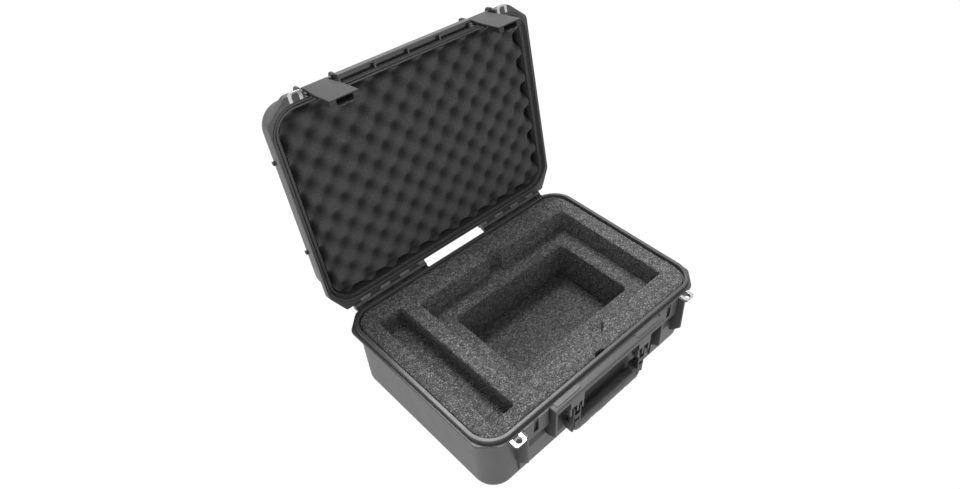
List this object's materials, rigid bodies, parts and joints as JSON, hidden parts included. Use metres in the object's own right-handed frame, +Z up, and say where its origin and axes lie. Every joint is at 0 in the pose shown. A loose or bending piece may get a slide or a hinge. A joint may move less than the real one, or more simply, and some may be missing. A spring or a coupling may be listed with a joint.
{
  "type": "laptop hard case",
  "caption": "Moulded waterproof hard case with its lid open: pull-trigger latches, carrying handle, egg-crate lid foam and cut foam for a laptop.",
  "frame": {"origin": "centre of the flat underside of the base", "axes": "+Z up, +X along the width to the right of someone facing the handle, -Y towards the handle, +Y towards the hinge"},
  "size_m": [0.497, 0.5056, 0.5066],
  "materials": {
    "shell": "fine moulded texture",
    "latch": "satin moulded",
    "rubber": "smooth, slightly glossy",
    "steel": "drawn wire",
    "plate": "bright stamped sheet",
    "base_foam": "expanded bead foam, speckled",
    "lid_foam": "open-cell egg-crate foam"
  },
  "bodies": {
    "base": {"base_shell": "shell", "hinge_pins": "steel", "base_protector_plates": "plate", "handle_pins": "steel", "valve_body": "latch", "valve_seal": "rubber", "valve_nut": "latch", "base_foam_pad": "base_foam", "base_foam_lower": "base_foam", "base_foam_upper": "base_foam"},
    "lid": {"lid_shell": "shell", "lid_seal": "rubber", "lid_foam": "lid_foam", "lid_protector_plates": "plate", "latch_pin_left": "steel", "latch_pin_right": "steel"},
    "handle": {"handle_frame": "latch", "handle_grip": "rubber"},
    "latch_left": {"latch_body_left": "latch", "trigger_pin_left": "steel", "trigger_spring_left": "steel"},
    "trigger_left": {"latch_trigger_left": "latch"},
    "latch_right": {"latch_body_right": "latch", "trigger_pin_right": "steel", "trigger_spring_right": "steel"},
    "trigger_right": {"latch_trigger_right": "latch"}
  },
  "joints": [
    {"name": "lid_hinge", "type": "hinge", "parent": "base", "child": "lid", "pos_m": [0, 0.1873, 0.1275], "axis": [1, 0, 0], "range_deg": [0, 100.1]},
    {"name": "handle_swing", "type": "hinge", "parent": "base", "child": "handle", "pos_m": [0, -0.183, 0.089], "axis": [-1, 0, 0], "range_deg": [0, 95]},
    {"name": "latch_left_swing", "type": "hinge", "parent": "lid", "child": "latch_left", "pos_m": [-0.1555, 0.27275, 0.48861], "axis": [-1, 0, 0], "range_deg": [0, 125]},
    {"name": "trigger_left_pull", "type": "hinge", "parent": "latch_left", "child": "trigger_left", "pos_m": [-0.1555, 0.21864, 0.49734], "axis": [-1, 0, 0], "range_deg": [0, 9], "stiffness_Nm_per_rad": 0.06, "springref_deg": -14.32},
    {"name": "latch_right_swing", "type": "hinge", "parent": "lid", "child": "latch_right", "pos_m": [0.1555, 0.27275, 0.48861], "axis": [-1, 0, 0], "range_deg": [0, 125]},
    {"name": "trigger_right_pull", "type": "hinge", "parent": "latch_right", "child": "trigger_right", "pos_m": [0.1555, 0.21864, 0.49734], "axis": [-1, 0, 0], "range_deg": [0, 9], "stiffness_Nm_per_rad": 0.06, "springref_deg": -14.32}
  ]
}
